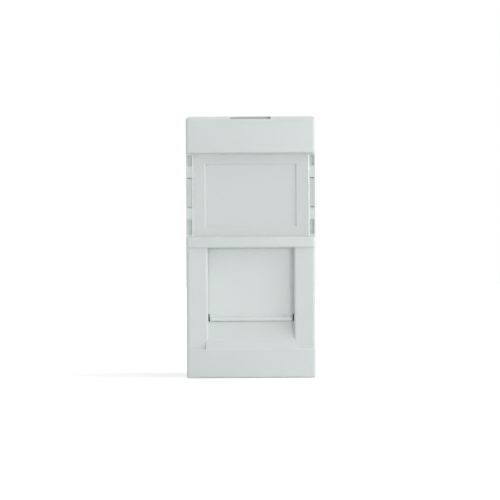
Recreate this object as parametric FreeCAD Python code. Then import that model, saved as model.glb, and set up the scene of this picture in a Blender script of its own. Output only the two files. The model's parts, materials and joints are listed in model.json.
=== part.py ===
import FreeCAD, Part
import math
import os

# Ethernet socket module, one module wide, for a 45 mm wall and trunking system.
# A shuttered face with a label window snaps over a rear carrier, the carrier clips into the
# mounting frame, and a jack with punch-down terminals snaps into the carrier from behind.
# X runs across the face, Y runs into the wall and Z is up. The origin is in the middle of the
# face, on the plane where the face seats on the mounting frame. All sizes are in millimetres.

# Face frame
module_pitch = 22.5          # from one module to the next
module_gap = 0.3             # left between neighbours
module_height = 45.0
front_depth = 9.0            # seat plane to the flat face of the stiles
side_wall = 1.2
end_wall = 1.2
face_wall = 1.4
top_band_height = 6.35
crossbar_height = 1.85
port_height = 12.68          # crossbar to the ledge under the shutter
scoop_height = 4.67          # finger ramp below the shutter
bottom_band_height = 5.05
port_margin = 0.15           # side of the jack to the mouth of the port
port_depth = 1.75            # face of the stiles to the back of the face wall
port_draft = 1.0             # degrees
band_rise = 0.3              # bands stand this far in front of the stiles
crossbar_rise = 0.35
face_crown = 0.45            # bands and crossbar bow out this much at mid width
bottom_lean = 0.2            # the bottom band leans back by this much at its foot
edge_round = 0.5
bar_bevel = 0.2
port_round = 0.4
top_round = 1.8
foot_bevel = 0.25
top_corner_round = 0.7
foot_corner_round = 0.3
scoop_blend = 8.0
backing_gap = 0.2            # back of the finger ramp to the carrier
release_width = 6.9          # screwdriver slot in the top edge
release_depth = 0.45
release_reach = 1.8          # front of the top band to the lip over the slot's end
release_undercut = 0.4       # how far the slot runs on under that lip
release_lip = 0.08           # thickness of the lip at its edge

# Label window and card
rail_width = 0.95
rail_drop = 0.55             # face of the stiles to the face of the side rails
rail_skin = 0.2              # outer wall left beside the clip notches
cover_thickness = 0.55
cover_gap = 0.06
cover_inset = 0.1            # face of the stiles to the front of the cover
cover_round = 0.2
upper_notch = 1.8
upper_notch_margin = 0.35
middle_notch = 5.2
middle_notch_rise = 0.43     # above the middle of the bay
lower_notch = 2.5
lower_notch_margin = 0.5
notch_depth = 0.55
tab_length = 4.4
tab_thickness = 0.3
tab_gap = 0.06
card_side_margin = 2.55      # cover edge to card edge
card_end_margin = 2.1
card_thickness = 0.12
card_gap = 0.02
card_corner = 0.4
pocket_depth = 0.35
pocket_bevel = 0.35

# Shutter and its spring
shutter_thickness = 1.2
shutter_gap = 0.15           # running clearance on each face
tongue_width = 1.1           # how far each edge runs behind the stiles
lip_height = 1.25
lip_rise = 0.5
lip_end_gap = 0.33
lip_round = 0.25
lip_blend = 0.6              # height of the hollow curve above the lip
lip_end_round = 0.4
rest_gap = 0.03              # closed shutter to the ledge
stop_gap = 0.15              # open lip to the crossbar
spring_diameter = 2.2
spring_wire = 0.28
spring_turns = 6
spring_wire_sides = 6        # the wire is drawn with six sides
spring_gap = 0.05
spring_peg_gap = 0.27
spring_peg_length = 1.6

# Rear carrier
carrier_plate = 1.5
carrier_gap = 0.1            # carrier to the inside of the face frame
skirt_wall = 1.1
skirt_setback = 0.4          # seat plane to the end of the skirt
rib_wall = 0.8
rib_spacing = 10.4
rib_setback = 0.6            # end of the skirt to the end of a rib
guide_gap = 0.1
tunnel_wall = 1.1
tunnel_gap = 0.25            # jack to the inside of its tunnel
tunnel_reach = 5.5           # seat plane to the end of the tunnel
tunnel_bevel = 0.3           # lead-in for the jack
tunnel_edge = 0.2            # bevel on its outer rear edges
relief_width = 0.9
relief_height = 2.2
lug_length = 2.6
lug_height = 1.2
lug_reach = 0.85
lug_margin = 6.8             # inner end of the frame to the middle of a lug
lug_gap = 0.2
frame_thickness = 2.0        # mounting frame that the module clips to
catch_gap = 0.15
latch_side_gap = 0.15
latch_wall = 1.1
latch_slot = 0.6             # slots beside the latch that let it bend
barb_land = 0.55
barb_length = 3.05
hook_width = 4.0
hook_spacing = 12.0
hook_length = 2.25
hook_rise = 1.0

# Jack
jack_width = 14.5
jack_height = 16.2
jack_length = 14.0
jack_bevel = 0.4
jack_setback = 1.0           # carrier face to the jack's face
jack_roof = 3.7              # plug cavity to the top of the jack
plug_width = 11.9
plug_height = 6.9
plug_depth = 12.35
plug_drop = 0.635            # plug opening below the middle of the port
plug_bevel = 0.35
tab_slot_width = 6.2
tab_slot_height = 1.5
tab_key_width = 3.4
tab_key_height = 1.6
tab_lip = 1.6                # front wall that the plug's tab snaps behind
tab_room = 7.2
flange_margin = 1.0
flange_bevel = 0.3
snap_width = 4.8
snap_length = 2.1
snap_rise = 1.35
snap_land = 0.4
snap_start = 1.7             # seat plane to the start of a snap
snap_gap = 0.25

# Contacts and their comb
contact_count = 8
contact_pitch = 1.02
contact_width = 0.45
contact_thickness = 0.35
contact_rise = 1.2           # roof of the plug cavity to the middle of the contact's run
contact_bend = 0.6
contact_slope = 18.0         # degrees
contact_arm = 7.4
contact_setback = 2.2        # jack's face to the start of the bend
contact_gap = 0.075
comb_margin = 1.8            # outer contact to the side of the comb
comb_height = 2.15
comb_gap = 0.1
comb_setback = 0.3
comb_groove_depth = 0.5
comb_rear_wall = 1.0

# Circuit board and terminals
board_margin = 0.2
board_thickness = 1.6
hole_gap = 0.15
hole_sides = 8               # the holes are drawn with eight sides
terminals_per_row = 4
terminal_pitch = 3.6
terminal_margin = 2.2        # outer terminal to the side of the block
terminal_height = 4.6
terminal_length = 9.0
terminal_overhang = 0.1      # block beyond the top or foot of the jack
wire_slot_width = 1.0
wire_slot_depth = 5.5
wire_mouth = 1.9
wire_mouth_depth = 0.9
tower_gap = 0.8
tower_gap_depth = 4.6
blade_width = 2.1
blade_thickness = 0.4
blade_setback = 1.2          # end of the towers to the end of a blade
blade_slit = 0.35
blade_slit_depth = 4.4
blade_mouth = 0.8
blade_pin = 0.5
blade_offset = 1.3           # outer face of a block to the middle of its blades
blade_gap = 0.06
clip_width = 2.4
clip_wall = 0.8
clip_gap = 0.1
clip_hook = 0.45
clip_hook_length = 0.9
clip_setback = 0.8           # front of the flange to the clip's notch
clip_root = 2.0
cap_wall = 0.8
cap_end = 1.2
cap_skirt = 3.6
cap_gap = 0.1
cap_notch = 1.4
cap_rib = 0.7
cap_rib_depth = 0.9

# Stations across the height
z_top = module_height / 2
z_foot = -z_top
z_inside = z_top - end_wall
z_band = z_top - top_band_height
z_bottom_band = z_foot + bottom_band_height
z_ledge = z_bottom_band + scoop_height
z_bar = z_ledge + port_height
z_bay = z_bar + crossbar_height
z_bay_middle = (z_band + z_bay) / 2
bay_height = z_band - z_bay
z_lip_low = z_ledge + rest_gap
z_lip_top = z_lip_low + lip_height
plug_opening = plug_height + tab_slot_height + tab_key_height
z_plug_top = (z_bar + z_ledge + plug_opening) / 2 - plug_drop
z_plug_low = z_plug_top - plug_height
z_tab_slot = z_plug_low - tab_slot_height
z_tab_key = z_tab_slot - tab_key_height
z_jack_top = z_plug_top + jack_roof
z_jack_low = z_jack_top - jack_height
z_tunnel_top = z_jack_top + tunnel_gap
z_tunnel_low = z_jack_low - tunnel_gap
z_shutter_top = z_tunnel_top + shutter_gap
z_carrier = z_inside - carrier_gap
z_contact = z_plug_top + contact_rise
z_comb_low = z_plug_top + comb_gap
z_comb_top = z_comb_low + comb_height
shutter_travel = z_bar - stop_gap - z_lip_top

# Stations through the depth, in front of the seat plane where negative
y_stile = -front_depth
y_band_front = y_stile - band_rise - face_crown
y_face_back = y_stile + port_depth
y_rail = y_stile + rail_drop
y_cover = y_stile + cover_inset
y_label_floor = y_cover + cover_thickness
y_pocket = y_label_floor + pocket_depth
y_shutter = y_face_back + shutter_gap
y_lip = y_shutter - lip_rise
y_shutter_back = y_shutter + shutter_thickness
y_spring = y_shutter + spring_diameter / 2
y_carrier = y_shutter_back + shutter_gap
y_carrier_back = y_carrier + carrier_plate
y_catch = frame_thickness + catch_gap
y_jack = y_carrier + jack_setback
y_jack_back = y_jack + jack_length
y_bend = y_jack + contact_setback
y_board_back = y_jack_back + board_thickness
y_blade_end = y_board_back + terminal_length - blade_setback
y_terminal_end = y_board_back + terminal_length
y_clip_notch = tunnel_reach + clip_setback
beyond = 1.0                                             # cutters reach this far past a face
y_clear = y_stile - crossbar_rise - face_crown - beyond  # in front of the whole face

# Half widths and sizes that follow from the others
half_width = (module_pitch - module_gap) / 2
half_inside = half_width - side_wall
half_bay = half_width - rail_width
half_cover = half_bay - cover_gap
half_notch = half_width - rail_skin
half_jack = jack_width / 2
half_port = half_jack + port_margin
half_port_back = half_port - math.tan(math.radians(port_draft)) * (port_depth - port_round)
half_shutter = half_port_back + tongue_width
half_lip = half_port_back - lip_end_gap
half_carrier = half_inside - carrier_gap
half_latch = release_width / 2 - latch_side_gap
half_tunnel = half_jack + tunnel_gap
half_flange = half_jack + flange_margin
half_comb = (contact_count - 1) / 2 * contact_pitch + comb_margin
half_terminal = (terminals_per_row - 1) / 2 * terminal_pitch + terminal_margin
half_card = half_cover - card_side_margin
half_card_height = bay_height / 2 - card_end_margin
spring_peg_radius = spring_diameter / 2 - spring_wire - spring_peg_gap
contact_hole = math.hypot(contact_width, contact_thickness) + hole_gap
blade_hole = math.hypot(blade_pin, blade_thickness) + hole_gap


def vec(x, y, z):
    return FreeCAD.Vector(x, y, z)


def span(middle, half):
    return (middle - half, middle + half)


def block(x_span, y_span, z_span):
    size = [high - low for low, high in (x_span, y_span, z_span)]
    return Part.makeBox(*size, vec(x_span[0], y_span[0], z_span[0]))


def place(plane, point):
    """A point of an outline, set in the plane that the outline is drawn in."""
    across, up = point
    return {"xy": vec(across, up, 0), "yz": vec(0, across, up), "xz": vec(across, 0, up)}[plane]


def outline(plane, start, *runs):
    """A closed face. A run is a line's end point, or an arc's mid point and end point."""
    edges = []
    here = start
    for run in [*runs, start]:
        if isinstance(run[0], tuple):
            middle, end = run
            arc = Part.Arc(place(plane, here), place(plane, middle), place(plane, end))
            edges.append(arc.toShape())
        else:
            end = run
            if math.dist(here, end) > 1e-9:
                edges.append(Part.LineSegment(place(plane, here), place(plane, end)).toShape())
        here = end
    return Part.Face(Part.Wire(edges))


def ring(plane, middle, radius, sides):
    """A closed wire with equal sides around a point of the plane."""
    turns = [2 * math.pi * (index + 0.5) / sides for index in range(sides + 1)]
    around = [(middle[0] + radius * math.cos(turn), middle[1] + radius * math.sin(turn)) for turn in turns]
    return Part.makePolygon([place(plane, point) for point in around])


def extrude(face, normal, low, high):
    """A face drawn through the origin, pushed out along its normal from low to high."""
    direction = {"x": vec(1, 0, 0), "y": vec(0, 1, 0), "z": vec(0, 0, 1)}[normal]
    moved = face.copy()
    moved.translate(direction * low)
    return moved.extrude(direction * (high - low))


def corner_arc(corner, radius, from_side, to_side):
    """The start of a rounded corner and its arc; the sides point away from the corner."""
    inset = radius * (1 - math.sqrt(0.5))
    start = tuple(c + radius * a for c, a in zip(corner, from_side))
    middle = tuple(c + inset * (a + b) for c, a, b in zip(corner, from_side, to_side))
    end = tuple(c + radius * b for c, b in zip(corner, to_side))
    return start, (middle, end)


def flared(half, z_span, y_mouth, depth, bevel):
    """A rectangular pocket whose mouth is wider than its floor by the bevel on every side."""
    rims = []
    for y, margin in ((y_mouth, bevel), (y_mouth + depth, 0)):
        low, high = z_span[0] - margin, z_span[1] + margin
        wide = half + margin
        corners = [vec(-wide, y, low), vec(wide, y, low), vec(wide, y, high), vec(-wide, y, high)]
        rims.append(Part.makePolygon([*corners, corners[0]]))
    return Part.makeLoft(rims, True, True)


def rounded(shape, radius, chosen):
    """The shape with the edges that the test picks out rounded."""
    return shape.makeFillet(radius, [edge for edge in shape.Edges if chosen(edge)])


def bevelled(shape, size, chosen):
    """The shape with the edges that the test picks out bevelled."""
    return shape.makeChamfer(size, [edge for edge in shape.Edges if chosen(edge)])


def both_sides(shape):
    return [shape, shape.mirror(vec(0, 0, 0), vec(1, 0, 0))]


def at_depth(y):
    """Picks the edges that lie wholly in one upright plane across the module."""
    return lambda edge: max(abs(edge.BoundBox.YMin - y), abs(edge.BoundBox.YMax - y)) < 1e-4


def at_height(z):
    """Picks the edges that lie wholly at one height."""
    return lambda edge: max(abs(edge.BoundBox.ZMin - z), abs(edge.BoundBox.ZMax - z)) < 1e-4


def upright_at(y):
    """Picks the vertical edges that stand at one depth."""
    def chosen(edge):
        box = edge.BoundBox
        return box.ZLength > box.XLength + box.YLength + 1e-4 and abs(box.YMin - y) < 1e-4
    return chosen


def face_bar(z_start, z_end, rise, lean=0):
    """A bar across the whole face, with a bowed front and rounded front corners.

    The bar may lean back on its way from its start to its end.
    """
    y_side = y_stile - rise
    bow = ((0, y_side - face_crown), (half_width, y_side))
    face = outline("xy", (-half_width, y_face_back), (-half_width, y_side), bow, (half_width, y_face_back))
    face.translate(vec(0, 0, z_start))
    return rounded(face.extrude(vec(0, lean, z_end - z_start)), edge_round, upright_at(y_side))


def face_bands():
    """The flat block of the face with its top and bottom bands, rounded at the head and the foot."""
    corners = [(-half_width, y_stile), (half_width, y_stile), (half_width, 0)]
    body = extrude(outline("xy", (-half_width, 0), *corners), "z", z_foot, z_top)
    body = rounded(body, edge_round, upright_at(y_stile))
    top = bevelled(face_bar(z_band, z_top, band_rise), bar_bevel, at_height(z_band))
    foot = face_bar(z_bottom_band, z_foot, band_rise, bottom_lean)
    foot = bevelled(bevelled(foot, bar_bevel, at_height(z_bottom_band)), foot_bevel, at_height(z_foot))
    head_start, head_arc = corner_arc((y_band_front, z_top), top_round, (0, -1), (1, 0))
    side = outline("yz", (0, z_foot), (y_clear, z_foot), (y_clear, head_start[1]), head_start, head_arc,
                   (0, z_top))
    return body.fuse([top, foot]).common(extrude(side, "x", -half_width, half_width))


def face_silhouette():
    """The face seen from the front, with its rounded corners, as deep as the whole frame."""
    corners = [
        *corner_arc((-half_width, z_foot), foot_corner_round, (1, 0), (0, 1)),
        *corner_arc((-half_width, z_top), top_corner_round, (0, -1), (1, 0)),
        *corner_arc((half_width, z_top), top_corner_round, (-1, 0), (0, -1)),
        *corner_arc((half_width, z_foot), foot_corner_round, (0, 1), (-1, 0)),
    ]
    return extrude(outline("xz", *corners), "y", y_clear, 0)


def crossbar():
    bar = bevelled(face_bar(z_bar, z_bay, crossbar_rise), bar_bevel, at_height(z_bar))
    return bevelled(bar, bar_bevel, at_height(z_bay))


def ramp_tongue():
    """The mass under the port that the finger ramp is cut into, bowed as the bottom band is."""
    bar = face_bar(z_bottom_band - 2 * bar_bevel, z_ledge, band_rise)
    return bar.common(block(span(0, half_port + port_round), (y_clear, y_face_back), (z_foot, z_top)))


def port_plan():
    """The opening in front of the jack seen from above: drafted sides with rounded mouths."""
    inset = port_round * (1 - math.sqrt(0.5))
    right = [
        (half_port_back, y_shutter), (half_port_back, y_face_back), (half_port, y_stile + port_round),
        ((half_port + inset, y_stile + inset), (half_port + port_round, y_stile)),
        (half_port + port_round, y_clear),
    ]
    left = [
        (-half_port - port_round, y_stile),
        ((-half_port - inset, y_stile + inset), (-half_port, y_stile + port_round)),
        (-half_port_back, y_face_back), (-half_port_back, y_shutter),
    ]
    return outline("xy", (-half_port - port_round, y_clear), *left, *right)


def port_side():
    """The same opening seen from the side: a finger ramp that runs out into the bottom band."""
    corner = (y_band_front, z_bottom_band)
    run = math.dist((y_face_back, z_ledge), corner)
    slope = ((y_band_front - y_face_back) / run, (z_bottom_band - z_ledge) / run)
    reach = scoop_blend * math.tan(math.acos(-slope[1]) / 2)
    ramp_end = (corner[0] - slope[0] * reach, corner[1] - slope[1] * reach)
    blend_end = (y_band_front, z_bottom_band - reach)
    centre = (y_band_front + scoop_blend, blend_end[1])
    share = scoop_blend / math.dist(centre, corner)
    blend_middle = tuple(c + share * (k - c) for c, k in zip(centre, corner))
    return outline("yz", (y_clear, z_bar), (y_shutter, z_bar), (y_shutter, z_ledge), (y_face_back, z_ledge),
                   ramp_end, (blend_middle, blend_end), (y_clear, blend_end[1]))


def port_cutter():
    plan = extrude(port_plan(), "z", z_foot, z_bar)
    return plan.common(extrude(port_side(), "x", -half_width, half_width))


def notch_spans():
    """The heights of the clip notches beside the label window, from the top down."""
    middle = z_bay_middle + middle_notch_rise
    high = z_band - upper_notch_margin
    low = z_bay + lower_notch_margin
    return [(high - upper_notch, high), span(middle, middle_notch / 2), (low, low + lower_notch)]


def label_bay_cutters():
    """The bay for the label window: lowered rails, the bay, the clip notches and the card pocket."""
    z_span = (z_bay, z_band)
    cutters = [
        block(span(0, half_width), (y_clear, y_rail), z_span),
        block(span(0, half_bay), (y_clear, y_label_floor), z_span),
    ]
    for notch in notch_spans():
        wide = (half_cover, half_notch)
        cutters.extend(both_sides(block(wide, (y_clear, y_rail + notch_depth), notch)))
    card_span = span(z_bay_middle, half_card_height + card_gap)
    cutters.append(flared(half_card + card_gap, card_span, y_label_floor, pocket_depth, pocket_bevel))
    return cutters


def frame_hollows():
    """The inside of the face frame, with cores behind the two bands."""
    wide = span(0, half_inside)
    y_core = y_stile - band_rise + face_wall
    return [
        block(wide, (y_face_back, beyond), span(0, z_inside)),
        block(wide, (y_core, y_face_back), (z_band + face_wall, z_inside)),
        block(wide, (y_core + bottom_lean, y_face_back), (-z_inside, z_bottom_band - face_wall)),
    ]


def release_slot():
    """The screwdriver slot in the top edge, undercut at its end so that the blade catches."""
    y_edge = y_band_front + release_reach
    z_floor = z_top - release_depth
    side = outline("yz", (y_clear, z_floor), (y_edge + release_undercut, z_floor),
                   (y_edge, z_top - release_lip), (y_edge, z_top + beyond), (y_clear, z_top + beyond))
    return extrude(side, "x", -release_width / 2, release_width / 2)


def frame_windows():
    """The screwdriver slot in the top edge and the side windows for the carrier's lugs."""
    cutters = [release_slot()]
    y_window = y_carrier_back + lug_gap
    for z in (z_inside - lug_margin, lug_margin - z_inside):
        window = block((half_inside - beyond, half_width + beyond),
                       (y_window, y_window + lug_height + 2 * lug_gap), span(z, lug_length / 2 + lug_gap))
        cutters.extend(both_sides(window))
    return cutters


def front_frame():
    """The moulded face: bands, crossbar, stiles, rails, label floor and the walls behind them."""
    frame = face_bands().fuse([crossbar(), ramp_tongue()]).common(face_silhouette()).removeSplitter()
    backing = block(span(0, half_port_back + face_wall), (y_face_back, y_carrier - backing_gap),
                    (z_bottom_band, z_ledge))
    z_peg = z_inside - spring_peg_length
    peg = Part.makeCylinder(spring_peg_radius, spring_peg_length, vec(0, y_spring, z_peg))
    frame = frame.cut(frame_hollows()).fuse([backing, peg])
    return frame.cut([port_cutter(), *label_bay_cutters(), *frame_windows()]).removeSplitter()


def label_cover():
    """The clear window over the label, with a clip tab on each side."""
    z_span = span(z_bay_middle, bay_height / 2 - cover_gap)
    plate = block(span(0, half_cover), (y_cover, y_label_floor), z_span)
    plate = rounded(plate, cover_round, at_depth(y_cover))
    z_tab = z_bay_middle + middle_notch_rise
    tab = block((half_cover - cover_round, half_notch - tab_gap),
                (y_label_floor - tab_thickness, y_label_floor), span(z_tab, tab_length / 2))
    return plate.fuse(both_sides(tab)).removeSplitter()


def label_card():
    """The blank paper card that lies in the pocket under the window."""
    z_span = span(z_bay_middle, half_card_height)
    card = block(span(0, half_card), (y_pocket - card_thickness, y_pocket), z_span)
    return rounded(card, card_corner, lambda edge: edge.BoundBox.YLength > card_thickness / 2)


def finger_lip():
    """The lip at the foot of the door: a hollow curve runs down into it, and its ends are rounded."""
    hollow = (lip_rise ** 2 + lip_blend ** 2) / (2 * lip_rise)
    turn = math.asin(lip_blend / hollow) / 2
    middle = (y_shutter - hollow + hollow * math.cos(turn), z_lip_top - hollow * math.sin(turn))
    toe_start, toe_arc = corner_arc((y_lip, z_lip_low), lip_round, (1, 0), (0, 1))
    side = outline("yz", (y_shutter, z_lip_low), toe_start, toe_arc, (y_lip, z_lip_top - lip_blend),
                   (middle, (y_shutter, z_lip_top)))
    left = corner_arc((-half_lip, y_lip), lip_end_round, (0, 1), (1, 0))
    right = corner_arc((half_lip, y_lip), lip_end_round, (-1, 0), (0, 1))
    plan = outline("xy", (-half_lip, y_shutter), *left, *right, (half_lip, y_shutter))
    return extrude(side, "x", -half_lip, half_lip).common(extrude(plan, "z", z_lip_low, z_lip_top))


def shutter():
    """The sliding door: tongues behind the stiles, a finger lip at the foot, a spring peg on top."""
    depth = (y_shutter, y_shutter_back)
    plate = block(span(0, half_shutter), depth, (z_lip_top, z_shutter_top))
    foot = block(span(0, half_lip), depth, (z_lip_low, z_lip_top))
    peg = Part.makeCylinder(spring_peg_radius, spring_peg_length, vec(0, y_spring, z_shutter_top))
    return plate.fuse([foot, finger_lip(), peg]).removeSplitter()


def shutter_spring():
    """The coil that pushes the shutter shut, between the shutter's peg and the frame's peg."""
    radius = (spring_diameter - spring_wire) / 2
    z_low = z_shutter_top + spring_gap + spring_wire / 2
    height = z_inside - spring_gap - spring_wire / 2 - z_low
    helix = Part.makeHelix(height / spring_turns, height, radius)
    section = ring("xz", (radius, 0), spring_wire / 2, spring_wire_sides)
    coil = Part.Wire(helix.Edges).makePipeShell([section], True, True)
    coil.translate(vec(0, y_spring, z_low))
    return coil


def carrier_catches():
    """The sprung latch at the top and the two fixed hooks at the foot that hold the mounting frame."""
    y_root = -skirt_setback
    z_inner = z_carrier - latch_wall
    y_latch = y_catch + barb_length
    latch = outline("yz", (y_root, z_inner), (y_latch, z_inner), (y_latch, z_carrier),
                    (y_catch + barb_land, z_top), (y_catch, z_top), (y_catch, z_carrier), (y_root, z_carrier))
    y_hook = y_catch + hook_length
    z_hook = -z_carrier - hook_rise
    hook = outline("yz", (y_root, -z_carrier), (y_catch, -z_carrier), (y_catch, z_hook),
                   (y_catch + barb_land, z_hook), (y_hook, -z_carrier), (y_hook, -z_inner),
                   (y_root, -z_inner))
    x_hook = span(hook_spacing / 2, hook_width / 2)
    return [extrude(latch, "x", -half_latch, half_latch), *both_sides(extrude(hook, "x", *x_hook))]


def carrier_lugs():
    """Wedges on the carrier's sides that snap into the windows of the face frame."""
    y_low = y_carrier_back + 2 * lug_gap
    y_high = y_low + lug_height
    x_root = half_carrier - skirt_wall / 2
    wedge = outline("xy", (x_root, y_low), (half_carrier, y_low), (half_carrier + lug_reach, y_high),
                    (x_root, y_high))
    lugs = []
    for z in (z_inside - lug_margin, lug_margin - z_inside):
        lugs.extend(both_sides(extrude(wedge, "z", *span(z, lug_length / 2))))
    return lugs


def carrier_tray():
    """The carrier's plate and skirt, with stiffening ribs above and below the jack."""
    tray = block(span(0, half_carrier), (y_carrier, -skirt_setback), span(0, z_carrier))
    z_hollow = span(0, z_carrier - skirt_wall)
    hollow = block(span(0, half_carrier - skirt_wall), (y_carrier_back, beyond), z_hollow)
    rib = block(span(rib_spacing / 2, rib_wall / 2), (y_carrier_back, -skirt_setback - rib_setback),
                span(0, z_carrier - skirt_wall / 2))
    return tray.cut(hollow).fuse(both_sides(rib))


def carrier_cutters():
    """The jack's bore, its snap windows, the spring's groove, the lip's reliefs and the latch's slots."""
    half_snap = snap_width / 2 + snap_gap
    snap_span = (snap_start - snap_gap, snap_start + snap_length + snap_gap)
    snap_heights = (z_tunnel_low - tunnel_wall - beyond, z_tunnel_top + tunnel_wall + beyond)
    groove = block(span(0, spring_diameter / 2 + shutter_gap),
                   (y_carrier - beyond, y_spring + spring_diameter / 2 + shutter_gap),
                   (z_tunnel_top - beyond, z_carrier + beyond))
    relief = block((half_lip, half_lip + relief_width), (y_carrier - beyond, y_carrier_back + carrier_plate),
                   (z_ledge, z_ledge + relief_height))
    slot = block((half_latch, half_latch + latch_slot), (y_carrier_back, beyond),
                 (z_carrier - skirt_wall - beyond, z_carrier + beyond))
    y_bore = (y_carrier - beyond, tunnel_reach + beyond)
    z_bore = (z_tunnel_low, z_tunnel_top)
    return [
        block(span(0, half_tunnel), y_bore, z_bore),
        flared(half_tunnel, z_bore, tunnel_reach, -tunnel_bevel, tunnel_bevel),
        block(span(0, half_snap), snap_span, snap_heights),
        groove,
        *both_sides(relief),
        *both_sides(slot),
    ]


def rear_carrier():
    """The rear moulding: shutter guides, jack tunnel, skirt and the catches for the mounting frame."""
    guide_side = half_shutter + guide_gap
    guide = block((guide_side, half_carrier), (y_face_back, y_carrier),
                  (z_ledge + guide_gap, z_shutter_top + shutter_travel))
    tunnel = block(span(0, half_tunnel + tunnel_wall), (y_carrier_back, tunnel_reach),
                   (z_tunnel_low - tunnel_wall, z_tunnel_top + tunnel_wall))
    tunnel = bevelled(tunnel, tunnel_edge, at_depth(tunnel_reach))
    body = carrier_tray().fuse([tunnel, *both_sides(guide), *carrier_catches(), *carrier_lugs()])
    return body.cut(carrier_cutters()).removeSplitter()


def jack_snaps():
    """The latch wedge on top of the jack and the one underneath."""
    y_end = snap_start + snap_length
    z_high = z_jack_top + snap_rise
    z_root = z_jack_top - tunnel_gap
    wedge = outline("yz", (snap_start, z_root), (snap_start, z_jack_top), (y_end - snap_land, z_high),
                    (y_end, z_high), (y_end, z_root))
    upper = extrude(wedge, "x", *span(0, snap_width / 2))
    return [upper, upper.mirror(vec(0, 0, (z_jack_top + z_jack_low) / 2), vec(0, 0, 1))]


def plug_cavity():
    """The plug's way in: a bevelled mouth, the cavity, the stepped tab slot and the comb's pocket."""
    mouth = y_jack - beyond
    half_slot = tab_slot_width / 2
    y_room = y_jack + tab_room
    y_comb = y_bend - contact_bend - contact_thickness - comb_gap
    return [
        flared(plug_width / 2, (z_plug_low, z_plug_top), y_jack, plug_bevel, plug_bevel),
        block(span(0, plug_width / 2), (mouth, y_jack + plug_depth), (z_plug_low, z_plug_top)),
        block(span(0, half_slot), (mouth, y_room), (z_tab_slot, z_plug_low)),
        block(span(0, tab_key_width / 2), (mouth, y_room), (z_tab_key, z_tab_slot)),
        block(span(0, half_slot), (y_jack + tab_lip, y_room), (z_tab_key, z_tab_slot)),
        block(span(0, half_comb + comb_gap), (y_comb, y_jack_back + beyond), (z_plug_top, z_comb_top)),
    ]


def jack_housing():
    """The jack's front housing: plug cavity, comb pocket, snaps, and a flange that seats on the tunnel."""
    body = block(span(0, half_jack), (y_jack, y_jack_back), (z_jack_low, z_jack_top))
    body = bevelled(body, jack_bevel, at_depth(y_jack))
    flange = block(span(0, half_flange), (tunnel_reach, y_jack_back),
                   (z_jack_low - flange_margin, z_jack_top + flange_margin))
    flange = bevelled(flange, flange_bevel, at_depth(y_jack_back))
    notches = []
    for z_low, z_high, _ in terminal_rows().values():
        z_notch = span((z_low + z_high) / 2, clip_width / 2 + clip_gap)
        y_notch = (y_clip_notch, y_clip_notch + clip_hook_length + 2 * clip_gap)
        notches.extend(both_sides(block((half_flange - clip_hook - clip_gap, half_flange), y_notch, z_notch)))
    return body.fuse([flange, *jack_snaps()]).cut([*plug_cavity(), *notches]).removeSplitter()


def contact_places():
    middle = (contact_count - 1) / 2
    return [(index - middle) * contact_pitch for index in range(contact_count)]


def contact_comb():
    """The insert that holds the contacts apart: a tunnel and a groove for each one."""
    y_front = y_bend + comb_setback
    comb = block(span(0, half_comb), (y_front, y_jack_back), (z_comb_low, z_comb_top))
    z_tunnel = span(z_contact, contact_thickness / 2 + contact_gap)
    z_groove = (z_comb_low - beyond, z_comb_low + comb_groove_depth)
    cutters = []
    for x in contact_places():
        across = span(x, contact_width / 2 + contact_gap)
        cutters.append(block(across, (y_front - beyond, y_jack_back + beyond), z_tunnel))
        cutters.append(block(across, (y_front - beyond, y_jack_back - comb_rear_wall), z_groove))
    return comb.cut(cutters).removeSplitter()


def contact_side(radius):
    """One side of a contact beyond its run: the run's height, the bend and the tip of the arm."""
    tilt = math.radians(contact_slope)
    z_centre = z_contact - contact_bend
    middle = (y_bend - radius * math.cos(tilt / 2), z_centre + radius * math.sin(tilt / 2))
    bend_end = (y_bend - radius * math.sin(tilt), z_centre - radius * math.cos(tilt))
    tip = (bend_end[0] + contact_arm * math.cos(tilt), bend_end[1] - contact_arm * math.sin(tilt))
    return z_centre + radius, middle, bend_end, tip


def contact(x):
    """One spring contact: a pin in the board, a run through the comb, a bend and a sloping arm."""
    high, outer_middle, outer_end, outer_tip = contact_side(contact_bend + contact_thickness / 2)
    low, inner_middle, inner_end, inner_tip = contact_side(contact_bend - contact_thickness / 2)
    face = outline("yz", (y_board_back, high), (y_bend, high), (outer_middle, outer_end), outer_tip,
                   inner_tip, inner_end, (inner_middle, (y_bend, low)), (y_board_back, low))
    return extrude(face, "x", *span(x, contact_width / 2))


def terminal_rows():
    """For each row: its lower face, its upper face and the height of its blades."""
    high = z_jack_top + terminal_overhang
    low = z_jack_low - terminal_overhang
    return {
        "upper": (high - terminal_height, high, high - blade_offset),
        "lower": (low, low + terminal_height, low + blade_offset),
    }


def terminal_places():
    middle = (terminals_per_row - 1) / 2
    return [(index - middle) * terminal_pitch for index in range(terminals_per_row)]


def circuit_board():
    """The board that joins the contacts to the terminals, with a hole for each pin."""
    board = block(span(0, half_jack + board_margin), (y_jack_back, y_board_back),
                  (z_jack_low - board_margin, z_jack_top + board_margin))
    pins = [(x, z_contact, contact_hole) for x in contact_places()]
    for _, _, z_blade in terminal_rows().values():
        pins.extend((x, z_blade, blade_hole) for x in terminal_places())
    holes = []
    for x, z, diameter in pins:
        hole = Part.Face(ring("xz", (x, z), diameter / 2, hole_sides))
        holes.append(extrude(hole, "y", y_jack_back, y_board_back))
    return board.cut(holes)


def terminal_clips(z_middle):
    """The arms that run past the board and hook into the flange of the jack."""
    x_arm = half_flange + clip_gap
    z_span = span(z_middle, clip_width / 2)
    y_hook = y_clip_notch + clip_gap
    y_root = y_board_back + clip_root
    arm = block((x_arm, x_arm + clip_wall), (y_hook, y_root), z_span)
    root = block((half_terminal - clip_wall, x_arm + clip_wall), (y_board_back, y_root), z_span)
    hook = block((half_flange - clip_hook, x_arm), (y_hook, y_hook + clip_hook_length), z_span)
    return both_sides(arm.fuse([root, hook]))


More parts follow.
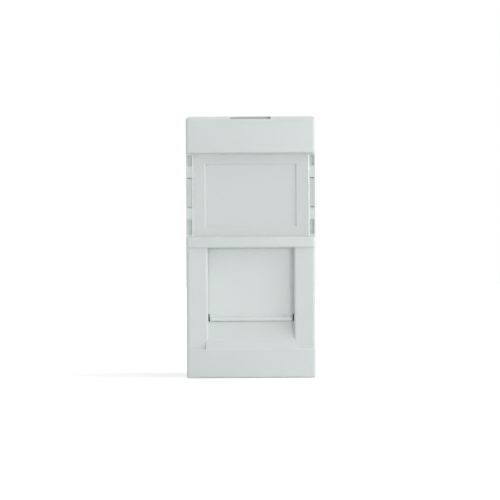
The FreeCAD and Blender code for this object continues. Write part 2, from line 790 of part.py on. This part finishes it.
def wire_mouth_outline(x):
    """The funnel at the end of a wire slot, which leaves pointed tips on the towers."""
    y_throat = y_terminal_end - wire_mouth_depth
    return outline("xy", (x - wire_mouth / 2, y_terminal_end), (x - wire_slot_width / 2, y_throat),
                   (x + wire_slot_width / 2, y_throat), (x + wire_mouth / 2, y_terminal_end))


def terminal_block(row):
    """A row of punch-down towers, each with a wire slot and a pocket for its blade."""
    z_low, z_high, z_blade = terminal_rows()[row]
    body = block(span(0, half_terminal), (y_board_back, y_terminal_end), (z_low, z_high))
    z_through = (z_low - beyond, z_high + beyond)
    y_open = y_terminal_end + beyond
    cutters = []
    y_slot = (y_terminal_end - wire_slot_depth, y_open)
    y_pocket_span = (y_board_back - beyond, y_blade_end + blade_gap)
    z_pocket_span = span(z_blade, blade_thickness / 2 + blade_gap)
    for x in terminal_places():
        cutters.append(block(span(x, wire_slot_width / 2), y_slot, z_through))
        cutters.append(extrude(wire_mouth_outline(x), "z", *z_through))
        cutters.append(block(span(x, blade_width / 2 + blade_gap), y_pocket_span, z_pocket_span))
    for x in terminal_places()[1:]:
        gap = span(x - terminal_pitch / 2, tower_gap / 2)
        cutters.append(block(gap, (y_terminal_end - tower_gap_depth, y_open), z_through))
    return body.cut(cutters).fuse(terminal_clips((z_low + z_high) / 2)).removeSplitter()


def terminal_blade(row, x):
    """A forked blade that cuts into a wire, with a pin through the board."""
    z_blade = terminal_rows()[row][2]
    half, pin, slit, mouth = blade_width / 2, blade_pin / 2, blade_slit / 2, blade_mouth / 2
    y_slit = y_blade_end - blade_slit_depth
    y_mouth = y_blade_end - (mouth - slit)
    left = [(x - pin, y_board_back), (x - half, y_board_back), (x - half, y_blade_end),
            (x - mouth, y_blade_end), (x - slit, y_mouth), (x - slit, y_slit)]
    right = [(2 * x - across, y) for across, y in reversed(left)]
    crotch = ((x, y_slit - slit), right[0])
    face = outline("xy", (x - pin, y_jack_back), *left, crotch, *right[1:], (x + pin, y_jack_back))
    return extrude(face, "z", *span(z_blade, blade_thickness / 2))


def wire_cap(row):
    """The cap pressed over a row of towers, notched for the wires and ribbed to push them home."""
    z_low, z_high, _ = terminal_rows()[row]
    half = half_terminal + cap_gap
    y_open = y_terminal_end - cap_skirt
    y_rib = y_terminal_end - cap_rib_depth
    y_end = y_terminal_end + cap_end
    z_inner = (z_low - cap_gap, z_high + cap_gap)
    z_outer = (z_inner[0] - cap_wall, z_inner[1] + cap_wall)
    cap = rounded(block(span(0, half + cap_wall), (y_open, y_end), z_outer), edge_round, at_depth(y_end))
    cutters = [block(span(0, half), (y_open, y_terminal_end), z_inner)]
    ribs = []
    for x in terminal_places():
        cutters.append(block(span(x, cap_notch / 2), (y_open, y_rib), z_outer))
        ribs.append(block(span(x, cap_rib / 2), (y_rib, y_terminal_end), z_inner))
    return cap.cut(cutters).fuse(ribs).removeSplitter()


def pieces():
    """Every piece of the module by its name."""
    made = {
        "front_frame": front_frame(),
        "label_cover": label_cover(),
        "label_card": label_card(),
        "shutter": shutter(),
        "shutter_spring": shutter_spring(),
        "rear_carrier": rear_carrier(),
        "jack_housing": jack_housing(),
        "contact_comb": contact_comb(),
        "circuit_board": circuit_board(),
    }
    for number, x in enumerate(contact_places(), 1):
        made[f"contact_{number}"] = contact(x)
    number = 0
    for row in terminal_rows():
        made[f"terminal_block_{row}"] = terminal_block(row)
        made[f"wire_cap_{row}"] = wire_cap(row)
        for x in terminal_places():
            number += 1
            made[f"terminal_blade_{number}"] = terminal_blade(row, x)
    return made


def main():
    os.makedirs("parts", exist_ok=True)
    for name, shape in pieces().items():
        solid = shape.Solids[0] if len(shape.Solids) == 1 else shape
        solid.exportStep(f"parts/{name}.step")
        print(f"{name}: {len(shape.Solids)} solid, {shape.Volume:.2f} mm3, valid {shape.isValid()}")
    print(f"shutter travel {shutter_travel:.2f} mm")


main()
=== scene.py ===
import json
import math

import bmesh
import bpy
from mathutils import Matrix, Vector

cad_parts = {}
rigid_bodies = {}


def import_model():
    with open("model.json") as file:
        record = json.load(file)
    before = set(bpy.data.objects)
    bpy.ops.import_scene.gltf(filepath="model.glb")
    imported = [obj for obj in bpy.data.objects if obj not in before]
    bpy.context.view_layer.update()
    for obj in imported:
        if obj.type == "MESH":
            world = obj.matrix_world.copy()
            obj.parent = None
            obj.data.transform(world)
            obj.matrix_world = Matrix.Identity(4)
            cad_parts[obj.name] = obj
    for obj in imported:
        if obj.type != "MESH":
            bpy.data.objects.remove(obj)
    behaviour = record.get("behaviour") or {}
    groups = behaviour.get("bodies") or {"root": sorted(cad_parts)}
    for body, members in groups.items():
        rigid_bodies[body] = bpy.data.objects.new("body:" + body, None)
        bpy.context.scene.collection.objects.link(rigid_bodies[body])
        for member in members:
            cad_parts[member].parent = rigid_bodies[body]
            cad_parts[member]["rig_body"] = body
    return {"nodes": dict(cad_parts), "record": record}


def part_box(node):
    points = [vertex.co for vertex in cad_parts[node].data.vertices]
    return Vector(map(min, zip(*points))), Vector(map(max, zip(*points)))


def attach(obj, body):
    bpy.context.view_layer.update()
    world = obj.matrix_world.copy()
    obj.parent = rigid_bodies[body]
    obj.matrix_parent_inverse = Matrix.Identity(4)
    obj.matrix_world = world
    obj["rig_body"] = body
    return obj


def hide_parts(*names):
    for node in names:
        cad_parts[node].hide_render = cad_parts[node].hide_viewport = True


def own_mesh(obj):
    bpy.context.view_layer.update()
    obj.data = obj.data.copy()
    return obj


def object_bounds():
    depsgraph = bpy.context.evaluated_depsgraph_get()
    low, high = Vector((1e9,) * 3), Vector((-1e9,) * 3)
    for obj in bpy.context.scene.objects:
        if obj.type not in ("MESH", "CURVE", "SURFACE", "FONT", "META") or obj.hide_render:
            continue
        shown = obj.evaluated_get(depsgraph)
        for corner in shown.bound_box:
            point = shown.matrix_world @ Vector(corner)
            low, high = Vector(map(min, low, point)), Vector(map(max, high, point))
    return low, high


# Ethernet socket module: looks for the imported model, studio and camera.
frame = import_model()
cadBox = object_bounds()
nodes = frame["nodes"]
mm = 0.001
print("frame loaded:", len(nodes), "nodes")


class Socket:
    # one output of a material's nodes; sums on it add Math nodes
    def __init__(self, tree, socket=None):
        self.tree = tree
        self.socket = socket

    def node(self, kind, settings=None, inputs=None, output=0):
        made = self.tree.nodes.new("ShaderNode" + kind)
        for name, value in (settings or {}).items():
            if name == "stops":
                fillRamp(made.color_ramp, value)
            else:
                setattr(made, name, value)
        for name, value in (inputs or {}).items():
            if isinstance(value, Socket):
                self.tree.links.new(value.socket, made.inputs[name])
            else:
                made.inputs[name].default_value = value
        return Socket(self.tree, made.outputs[output])

    def math(self, operation, first, second=0.0):
        return self.node("Math", {"operation": operation}, {0: first, 1: second})

    def __add__(self, other):
        return self.math("ADD", self, other)

    def __radd__(self, other):
        return self.math("ADD", other, self)

    def __sub__(self, other):
        return self.math("SUBTRACT", self, other)

    def __rsub__(self, other):
        return self.math("SUBTRACT", other, self)

    def __mul__(self, other):
        return self.math("MULTIPLY", self, other)

    def __rmul__(self, other):
        return self.math("MULTIPLY", other, self)

    def __gt__(self, other):
        return self.math("GREATER_THAN", self, other)

    def __lt__(self, other):
        return self.math("LESS_THAN", self, other)

    def __abs__(self):
        return self.math("ABSOLUTE", self)

    def into(self, target):
        self.tree.links.new(self.socket, target)


def fillRamp(ramp, stops):
    while len(ramp.elements) < len(stops):
        ramp.elements.new(1.0)
    for element, (place, colour) in zip(ramp.elements, stops):
        element.position = place
        element.color = (*colour, 1.0)


def startMaterial(name):
    material = bpy.data.materials.new(name)
    material.use_nodes = True
    tree = material.node_tree
    spot = Socket(tree).node("TexCoord", output="Object")
    return material, tree.nodes["Principled BSDF"].inputs, spot


def axes(spot):
    apart = spot.node("SeparateXYZ", inputs={"Vector": spot})
    return [Socket(spot.tree, output) for output in apart.socket.node.outputs]


def noise(spot, grain, detail=2.0, stretch=(1.0, 1.0, 1.0)):
    # grain is the size of a speck, in metres
    placed = spot.node("Mapping", inputs={"Vector": spot, "Scale": stretch})
    return spot.node("TexNoise", inputs={"Vector": placed, "Scale": 1.0 / grain, "Detail": detail})


def mixColours(spot, share, first, second):
    first, second = (value if isinstance(value, Socket) else (*value, 1.0) for value in (first, second))
    return spot.node("Mix", {"data_type": "RGBA"}, {0: share, 6: first, 7: second}, output=2)


def bump(spot, height, depth, below=None):
    inputs = {"Height": height, "Distance": depth, "Strength": 1.0}
    if below:
        inputs["Normal"] = below
    return spot.node("Bump", inputs=inputs)


# moulded plastics: a spark-eroded skin, faint flow marks and a little unevenness of colour
def mouldedPlastic(name, look):
    material, shader, spot = startMaterial(name)
    flow = noise(spot, look["flowSize"], 3.0, look["flowStretch"])
    skin = noise(spot, look["skinSize"], 3.0)
    mixColours(spot, flow, look["shade"], look["colour"]).into(shader["Base Color"])
    (look["roughness"] + (skin - 0.5) * look["roughSpread"]).into(shader["Roughness"])
    wave = bump(spot, flow, look["flowDepth"])
    bump(spot, skin, look["skinDepth"], wave).into(shader["Normal"])
    shader["IOR"].default_value = look["ior"]
    return material


facePlastic = {
    "colour": (0.690, 0.735, 0.725),
    "shade": (0.678, 0.724, 0.714),
    "roughness": 0.46,
    "roughSpread": 0.16,
    "flowSize": 6.0 * mm,
    "flowStretch": (1.0, 1.0, 0.35),
    "flowDepth": 0.010 * mm,
    "skinSize": 0.16 * mm,
    "skinDepth": 0.004 * mm,
    "ior": 1.5,
}
# painted light: the door is coloured a little lighter than the face plastic to offset the shade of the
# recess it sits in
shutterPlasticPaintedLighter = dict(facePlastic, colour=(0.728, 0.774, 0.764), shade=(0.716, 0.763, 0.752))
carrierPlastic = dict(facePlastic, colour=(0.66, 0.69, 0.68), shade=(0.64, 0.672, 0.662), roughness=0.55)
capPlastic = dict(facePlastic, colour=(0.70, 0.725, 0.715), shade=(0.685, 0.712, 0.70), roughness=0.42)
blackPlastic = {
    "colour": (0.021, 0.021, 0.023),
    "shade": (0.015, 0.015, 0.017),
    "roughness": 0.48,
    "roughSpread": 0.2,
    "flowSize": 4.0 * mm,
    "flowStretch": (1.0, 1.0, 0.35),
    "flowDepth": 0.012 * mm,
    "skinSize": 0.14 * mm,
    "skinDepth": 0.006 * mm,
    "ior": 1.5,
}
combPlastic = dict(blackPlastic, colour=(0.03, 0.03, 0.032), shade=(0.022, 0.022, 0.024), roughness=0.42)


# clear polycarbonate of the label window; its rim is painted in a lighter colour, a painted highlight where
# light gathers in the edges, and rim and tabs are nearly opaque
windowLook = {
    "colour": (0.69, 0.71, 0.705),
    # painted highlight: the rim's lighter colour stands in for light gathering in the pane's edges
    "rimPaintedHighlight": (0.86, 0.90, 0.89),
    "tabColour": (0.65, 0.69, 0.68),
    "clear": 0.12,                # haze of the pane, its rim and its thin walls
    "rim": 0.85,
    "wall": 0.45,
    "rimWidth": 0.22 * mm,
    "sideRim": 0.55 * mm,
    "skin": 0.15 * mm,
    "backSkin": 0.10 * mm,
    "plateHalf": 10.15 * mm,      # the tabs begin here
    "roughness": 0.05,
    "roughSpread": 0.06,
    "smearSize": 3.0 * mm,
    "ior": 1.58,
}


def clearWindow(name, look, nodeName):
    material, shader, spot = startMaterial(name)
    low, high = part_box(nodeName)
    across, depth, upward = axes(spot)
    sideRoom = (look["plateHalf"] - abs(across)) * (look["rimWidth"] / look["sideRim"])
    endRoom = (high.z - low.z) / 2 - abs(upward - (high.z + low.z) / 2)
    room = spot.math("MINIMUM", sideRoom, endRoom)
    inside = spot.node("MapRange", {"interpolation_type": "SMOOTHSTEP"},
                       {"Value": room, "From Max": look["rimWidth"]})
    tab = abs(across) > look["plateHalf"]
    front = spot.math("MAXIMUM", tab, depth < low.y + look["skin"])
    wall = (1 - front) * (depth < high.y - look["backSkin"]) * (1 - inside)
    haze = look["rim"] + inside * (look["clear"] - look["rim"])
    (front * haze + wall * look["wall"]).into(shader["Alpha"])
    # the rim is painted in the lighter colour: a painted highlight along the pane's edges
    plate = mixColours(spot, inside, look["rimPaintedHighlight"], look["colour"])
    mixColours(spot, tab, plate, look["tabColour"]).into(shader["Base Color"])
    smear = noise(spot, look["smearSize"], 4.0)
    (look["roughness"] + smear * look["roughSpread"]).into(shader["Roughness"])
    shader["IOR"].default_value = look["ior"]
    return material


# plain white card
cardLook = {
    "colour": (0.715, 0.755, 0.75),
    "fibre": (0.695, 0.738, 0.733),
    "fibreSize": 0.35 * mm,
    "fibreStretch": (1.0, 1.0, 0.25),
    "fibreDepth": 0.012 * mm,
    "roughness": 0.85,
}


def paperCard(name, look):
    material, shader, spot = startMaterial(name)
    fibres = noise(spot, look["fibreSize"], 5.0, look["fibreStretch"])
    mixColours(spot, fibres, look["fibre"], look["colour"]).into(shader["Base Color"])
    bump(spot, fibres, look["fibreDepth"]).into(shader["Normal"])
    shader["Roughness"].default_value = look["roughness"]
    return material


# plated and drawn metals: fine lines along the way the strip or wire was drawn
def drawnMetal(name, look):
    material, shader, spot = startMaterial(name)
    lines = noise(spot, look["lineSize"], 3.0, look["drawn"])
    cloud = noise(spot, look["cloudSize"], 2.0)
    mixColours(spot, cloud, look["shade"], look["colour"]).into(shader["Base Color"])
    (look["roughness"] + (lines - 0.5) * look["roughSpread"]).into(shader["Roughness"])
    bump(spot, lines, look["lineDepth"]).into(shader["Normal"])
    shader["Metallic"].default_value = 1.0
    return material


goldLook = {
    "colour": (0.95, 0.72, 0.31),
    "shade": (0.90, 0.66, 0.26),
    "roughness": 0.20,
    "roughSpread": 0.12,
    "lineSize": 0.08 * mm,
    "lineDepth": 0.0006 * mm,
    "cloudSize": 1.2 * mm,
    "drawn": (1.0, 0.1, 0.1),
}
tinLook = dict(goldLook, colour=(0.72, 0.72, 0.71), shade=(0.60, 0.60, 0.60), roughness=0.36,
               drawn=(1.0, 0.1, 1.0))
springLook = dict(goldLook, colour=(0.60, 0.60, 0.61), shade=(0.50, 0.50, 0.51), roughness=0.30,
                  drawn=(1.0, 1.0, 0.3))


# green solder mask over faint tracks, two rows of tinned vias and a bare fibreglass edge
boardLook = {
    "mask": (0.020, 0.135, 0.060),
    "track": (0.045, 0.215, 0.100),
    "edge": (0.42, 0.38, 0.22),
    "trackPitch": 1.27 * mm,
    "trackWidth": 0.45,           # share of the pitch
    "trackFade": 0.3,
    "trackDepth": 0.02 * mm,
    "edgeSkin": 0.02 * mm,
    "weaveSize": 0.5 * mm,
    "viaRows": (-4.5 * mm, -6.6 * mm),
    "viaRadius": 0.42 * mm,
    "viaHole": 0.17 * mm,
    "via": (0.76, 0.75, 0.72),
    "roughness": 0.28,
    "edgeRoughness": 0.75,
}


def solderMask(name, look, nodeName):
    material, shader, spot = startMaterial(name)
    low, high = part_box(nodeName)
    middle = (low + high) / 2
    half = (high - low) / 2
    across, _, upward = axes(spot)
    side = abs(across - middle.x) > half.x - look["edgeSkin"]
    end = abs(upward - middle.z) > half.z - look["edgeSkin"]
    edge = spot.math("MAXIMUM", side, end)
    stripe = spot.math("PINGPONG", across * (1.0 / look["trackPitch"]), 0.5)
    track = (stripe < look["trackWidth"] / 2) * (1 - edge)
    weave = noise(spot, look["weaveSize"], 3.0)
    pad = hole = None
    for row, height in enumerate(look["viaRows"]):
        # a via on every other track, the rows taking turns
        beside = spot.math("PINGPONG", across + row * look["trackPitch"], look["trackPitch"])
        above = upward - height
        reach = spot.math("SQRT", beside * beside + above * above)
        rowPad, rowHole = reach < look["viaRadius"], reach < look["viaHole"]
        pad = pad + rowPad if pad else rowPad
        hole = hole + rowHole if hole else rowHole
    ring = pad - hole
    fade = (1 - look["trackFade"]) + weave * look["trackFade"]
    face = mixColours(spot, track * fade, look["mask"], look["track"])
    face = mixColours(spot, hole, mixColours(spot, ring, face, look["via"]), look["mask"])
    mixColours(spot, edge, face, look["edge"]).into(shader["Base Color"])
    ring.into(shader["Metallic"])
    (look["roughness"] + edge * (look["edgeRoughness"] - look["roughness"])).into(shader["Roughness"])
    bump(spot, track, look["trackDepth"]).into(shader["Normal"])
    return material


finishes = {
    "face_plastic": mouldedPlastic("facePlastic", facePlastic),
    "clear_window": clearWindow("clearWindow", windowLook, "label_cover"),
    "paper": paperCard("paperCard", cardLook),
    "shutter_plastic": mouldedPlastic("shutterPlasticPaintedLighter", shutterPlasticPaintedLighter),
    "spring_steel": drawnMetal("springSteel", springLook),
    "carrier_plastic": mouldedPlastic("carrierPlastic", carrierPlastic),
    "jack_plastic": mouldedPlastic("jackPlastic", blackPlastic),
    "comb_plastic": mouldedPlastic("combPlastic", combPlastic),
    "board": solderMask("solderMask", boardLook, "circuit_board"),
    "terminal_plastic": mouldedPlastic("terminalPlastic", blackPlastic),
    "cap_plastic": mouldedPlastic("capPlastic", capPlastic),
    "contact_gold": drawnMetal("contactGold", goldLook),
    "blade_tin": drawnMetal("bladeTin", tinLook),
}
slotOf = {part["node"]: part["material_slot"] for part in frame["record"]["subparts"]}
print("materials made:", len(finishes))


def addPiece(name, shape, slotName, body):
    mesh = bpy.data.meshes.new(name)
    shape.to_mesh(mesh)
    shape.free()
    piece = bpy.data.objects.new(name, mesh)
    bpy.context.scene.collection.objects.link(piece)
    mesh.materials.append(finishes[slotName])
    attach(piece, body)
    return piece


# every piece but the coil: the solid's own form, merged, with broken edges; sizes in mm
softEdges = {
    "front_frame": {"name": "faceFrame", "bevel": 0.07},
    "shutter": {"name": "shutterDoor", "bevel": 0.06,
                "footReach": 0.13, "footHeight": 1.28, "footEnd": (6.4, 7.3)},
    "label_cover": {"name": "labelWindow", "tabReach": 0.16, "tabEnd": (2.0, 2.4), "rootFrom": 10.0,
                    "grow": 0.045, "bevel": 0.045, "lift": 0.03,
                    "sideRound": 3.0, "roundSpan": (9.75, 10.06), "roundDepth": 0.22},
    "label_card": {"name": "labelCard", "bevel": 0.02, "grow": 0.018, "flare": 0.11},
    "rear_carrier": {"name": "rearCarrier", "bevel": 0.09},
    "jack_housing": {"name": "jackBody", "bevel": 0.10},
    "terminal_block_upper": {"name": "terminalTowersUpper", "bevel": 0.08},
    "terminal_block_lower": {"name": "terminalTowersLower", "bevel": 0.08},
    "contact_comb": {"name": "contactComb", "bevel": 0.04},
    "circuit_board": {"name": "circuitBoard", "bevel": 0.04},
    "wire_cap_upper": {"name": "wireCapUpper", "bevel": 0.09},
    "wire_cap_lower": {"name": "wireCapLower", "bevel": 0.09},
}
wires = 8
for index in range(1, wires + 1):
    softEdges[f"contact_{index}"] = {"name": f"contact{index}", "bevel": 0.04}
    softEdges[f"terminal_blade_{index}"] = {"name": f"terminalBlade{index}", "bevel": 0.05}
softening = {
    "mergeWithin": 0.01 * mm,
    "noLength": 0.0005 * mm,
    "flatWithin": 0.5,            # degrees, as the next two
    "sharpOver": 50.0,
    "creaseOver": 34.0,
    "segments": 3,
    "sideways": 0.25,             # a corner whose normal leans this far belongs to a side
}


def bodyOf(nodeName):
    return nodes[nodeName]["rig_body"]


def smoothShade(shape):
    shape.normal_update()
    for face in shape.faces:
        face.smooth = True
    for edge in shape.edges:
        edge.smooth = not edge.is_manifold or edge.calc_face_angle() < math.radians(softening["creaseOver"])


def mergedSolid(nodeName):
    shape = bmesh.new()
    shape.from_mesh(nodes[nodeName].data)
    bmesh.ops.remove_doubles(shape, verts=shape.verts, dist=softening["mergeWithin"])
    bmesh.ops.dissolve_degenerate(shape, dist=softening["mergeWithin"], edges=shape.edges)
    bmesh.ops.dissolve_limit(shape, angle_limit=math.radians(softening["flatWithin"]),
                             verts=shape.verts, edges=shape.edges)
    return shape


def breakEdges(shape, look):
    sharp = [edge for edge in shape.edges
             if edge.is_manifold and edge.calc_face_angle() > math.radians(softening["sharpOver"])]
    bmesh.ops.bevel(shape, geom=sharp, offset=look["bevel"] * mm, offset_type="OFFSET",
                    segments=softening["segments"], profile=0.5, affect="EDGES", material=-1,
                    clamp_overlap=True, loop_slide=True)
    bmesh.ops.dissolve_degenerate(shape, dist=softening["noLength"], edges=shape.edges)


def liftBack(shape, look):
    # a hair of air between the clear window and the floor it lies on
    rear = max(vert.co.y for vert in shape.verts)
    for vert in shape.verts:
        if vert.co.y > rear - look["bevel"] * mm * 2:
            vert.co.y -= look["lift"] * mm


def widenFoot(shape, look):
    # the ends of the door's foot stand a little nearer the port's walls
    foot = min(vert.co.z for vert in shape.verts) + look["footHeight"] * mm
    start, stop = look["footEnd"]
    for vert in shape.verts:
        if vert.co.z < foot and start * mm < abs(vert.co.x) < stop * mm:
            vert.co.x += math.copysign(look["footReach"] * mm, vert.co.x)


def easeSides(shape, look):
    # the pane's front edges round off more gently at its sides
    front = min(vert.co.y for vert in shape.verts) + look["roundDepth"] * mm
    inner, outer = (place * mm for place in look["roundSpan"])
    for vert in shape.verts:
        if vert.co.y < front and inner < abs(vert.co.x) < outer:
            vert.co.x = math.copysign(outer - (outer - abs(vert.co.x)) * look["sideRound"], vert.co.x)


def lengthenTabs(shape, look):
    # the clip tabs nearly fill their notches
    tabs = [vert for vert in shape.verts if abs(vert.co.x) > windowLook["plateHalf"]]
    level = sum(vert.co.z for vert in tabs) / len(tabs)
    start, stop = look["tabEnd"]
    for vert in shape.verts:
        if abs(vert.co.x) > look["rootFrom"] * mm and start * mm < abs(vert.co.z - level) < stop * mm:
            vert.co.z += math.copysign(look["tabReach"] * mm, vert.co.z - level)


def fillBed(shape, look):
    # window and card fill their beds but for a hairline
    shape.normal_update()
    depths = [vert.co.y for vert in shape.verts]
    halfway = (min(depths) + max(depths)) / 2
    for vert in shape.verts:
        step = look["grow"] + (look.get("flare", 0.0) if vert.co.y < halfway else 0.0)
        for axis in (0, 2):
            if abs(vert.normal[axis]) > softening["sideways"]:
                vert.co[axis] += math.copysign(step * mm, vert.normal[axis])


fittings = {"bevel": breakEdges, "lift": liftBack, "footReach": widenFoot, "sideRound": easeSides,
            "tabReach": lengthenTabs, "grow": fillBed}


def softPiece(nodeName, look):
    shape = mergedSolid(nodeName)
    for key in look:                 # the steps run in the order that the look gives them
        if key in fittings:
            fittings[key](shape, look)
    smoothShade(shape)
    piece = addPiece(look["name"], shape, slotOf[nodeName], bodyOf(nodeName))
    even = piece.modifiers.new("evenShading", "WEIGHTED_NORMAL")
    even.keep_sharp = True
    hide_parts(nodeName)
    return piece


for nodeName, look in softEdges.items():
    piece = softPiece(nodeName, look)
    piece.visible_shadow = nodeName != "label_cover"    # light goes through the clear window
    print("soft edges:", piece.name, len(piece.data.polygons), "faces")


# round-wire coil with closed ends, squeezed as the shutter goes up
coil = {"wire": 0.28 * mm, "turns": 6.0, "closedTurns": 0.75, "ringSides": 14, "stepsPerTurn": 40}


def shutterCoil(look):
    low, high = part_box("shutter_spring")
    middle = (low + high) / 2
    wire = look["wire"]
    closed = look["closedTurns"]
    active = look["turns"] - 2 * closed
    activeClimb = high.z - low.z - wire - 2 * closed * wire
    shape = bmesh.new()
    bmesh.ops.create_circle(shape, radius=wire / 2, segments=look["ringSides"])
    bmesh.ops.rotate(shape, verts=shape.verts, cent=(0, 0, 0), matrix=Matrix.Rotation(math.pi / 2, 3, "X"))
    start = Vector((high.x - wire / 2, middle.y, low.z + wire / 2))
    bmesh.ops.translate(shape, verts=shape.verts, vec=start)
    ring = [*shape.verts, *shape.edges]
    for turns, climb in ((closed, closed * wire), (active, activeClimb), (closed, closed * wire)):
        steps = round(turns * look["stepsPerTurn"])
        spun = bmesh.ops.spin(shape, geom=ring, cent=middle, axis=(0, 0, 1), dvec=(0, 0, climb / steps),
                              angle=2 * math.pi * turns, steps=steps, use_merge=False)
        ring = spun["geom_last"]
    bmesh.ops.holes_fill(shape, edges=[edge for edge in shape.edges if edge.is_boundary])
    bmesh.ops.recalc_face_normals(shape, faces=shape.faces)
    smoothShade(shape)
    piece = addPiece("shutterCoil", shape, "spring_steel", bodyOf("shutter_spring"))
    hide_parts("shutter_spring")
    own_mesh(piece)
    return piece


piece = shutterCoil(coil)
print("coil wound:", len(piece.data.polygons), "faces")


# studio: pale floor, white surround, a wide soft key from the right, weaker lamps in front and behind
studio = {
    "floorSize": 3.0,
    "floorGap": 0.02 * mm,
    "floorColour": (0.86, 0.86, 0.86),
    "floorRoughness": 0.9,
    "floorLift": (0.42, 0.78),    # glow near the object and far from it
    "liftReach": 0.8,
    "surround": (1.0, 1.0, 1.0),
    "surroundStrength": 0.53,
}
lamps = {
    "keyLamp": {"place": (0.785, -0.181, 0.503), "size": 0.90, "power": 5.3, "colour": (1.0, 1.0, 1.0)},
    "frontLamp": {"place": (0.399, -0.856, 0.099), "size": 0.22, "power": 1.52, "colour": (1.0, 1.0, 1.0)},
    "rearLamp": {"place": (-0.40, 0.75, 0.55), "size": 0.60, "power": 1.9, "colour": (1.0, 1.0, 1.0)},
}


def seenDirectly(tree):
    # camera, mirror and see-through rays meet plain white
    camera = Socket(tree).node("LightPath", output="Is Camera Ray")
    glossy, through = (Socket(tree, camera.socket.node.outputs[name])
                       for name in ("Is Glossy Ray", "Is Transmission Ray"))
    return camera.math("MAXIMUM", camera, camera.math("MAXIMUM", glossy, through))


def floorFinish(look):
    material, shader, spot = startMaterial("paleFloor")
    shader["Base Color"].default_value = (*look["floorColour"], 1.0)
    shader["Roughness"].default_value = look["floorRoughness"]
    shader["Specular IOR Level"].default_value = 0.0
    shader["Emission Strength"].default_value = 1.0
    away = spot.node("VectorMath", {"operation": "LENGTH"}, {0: spot}, output=1)
    near, far = look["floorLift"]
    lift = spot.node("MapRange", {"interpolation_type": "SMOOTHSTEP"},
                     {"Value": away, "From Max": look["liftReach"], "To Min": near, "To Max": far})
    glow = mixColours(spot, seenDirectly(spot.tree) * lift, (0.0, 0.0, 0.0), (1.0, 1.0, 1.0))
    glow.into(shader["Emission Color"])
    return material


def makeFloor(look):
    shape = bmesh.new()
    bmesh.ops.create_grid(shape, x_segments=1, y_segments=1, size=look["floorSize"] / 2)
    bmesh.ops.translate(shape, vec=Vector((0, 0, cadBox[0].z - look["floorGap"])), verts=shape.verts)
    mesh = bpy.data.meshes.new("floor")
    shape.to_mesh(mesh)
    shape.free()
    mesh.materials.append(floorFinish(look))
    floor = bpy.data.objects.new("floor", mesh)
    bpy.context.scene.collection.objects.link(floor)


def makeSurround(look):
    world = bpy.data.worlds.new("surround")
    bpy.context.scene.world = world
    world.use_nodes = True
    tree = world.node_tree
    plain = tree.nodes["Background"]
    plain.inputs["Color"].default_value = (*look["surround"], 1.0)
    plain.inputs["Strength"].default_value = look["surroundStrength"]
    glow = Socket(tree, plain.outputs[0])
    white = glow.node("Background", inputs={"Color": (1.0, 1.0, 1.0, 1.0), "Strength": 1.0})
    mixed = glow.node("MixShader", inputs={0: seenDirectly(tree), 1: glow, 2: white})
    mixed.into(tree.nodes["World Output"].inputs["Surface"])


def makeLamp(name, look):
    light = bpy.data.lights.new(name, "AREA")
    light.shape = "DISK"
    light.size = look["size"]
    light.energy = look["power"]
    light.color = look["colour"]
    lamp = bpy.data.objects.new(name, light)
    bpy.context.scene.collection.objects.link(lamp)
    lamp.location = look["place"]
    lamp.rotation_euler = (-Vector(look["place"])).to_track_quat("-Z", "Y").to_euler()


makeFloor(studio)
makeSurround(studio)
for name, look in lamps.items():
    makeLamp(name, look)
bpy.context.scene.view_settings.view_transform = "Standard"
print("studio lit:", len(lamps), "lamps")


# camera: straight at the face, as in the photograph
photo = {
    "side": 500,                  # pixels
    "middle": (250.9, 247.1),     # pixel at the middle of the module
    "pixelsPerMm": 5.82,
    "roll": 0.28,                 # degrees, right side up
    "distance": 600.0 * mm,       # lens to the flat face
    "faceDepth": -9.2 * mm,
    "clipStart": 10.0 * mm,
}


def makeCamera(look):
    camera = bpy.data.cameras.new("camera")
    view = bpy.data.objects.new("camera", camera)
    bpy.context.scene.collection.objects.link(view)
    bpy.context.scene.camera = view
    pixel = mm / look["pixelsPerMm"]
    camera.lens = camera.sensor_width * look["distance"] / (look["side"] * pixel)
    half = look["side"] / 2
    right = (half - look["middle"][0]) * pixel
    up = (look["middle"][1] - half) * pixel
    view.location = (right, look["faceDepth"] - look["distance"], up)
    view.rotation_euler = (math.pi / 2, math.radians(look["roll"]), 0)
    camera.clip_start = look["clipStart"]


makeCamera(photo)
print("camera set")
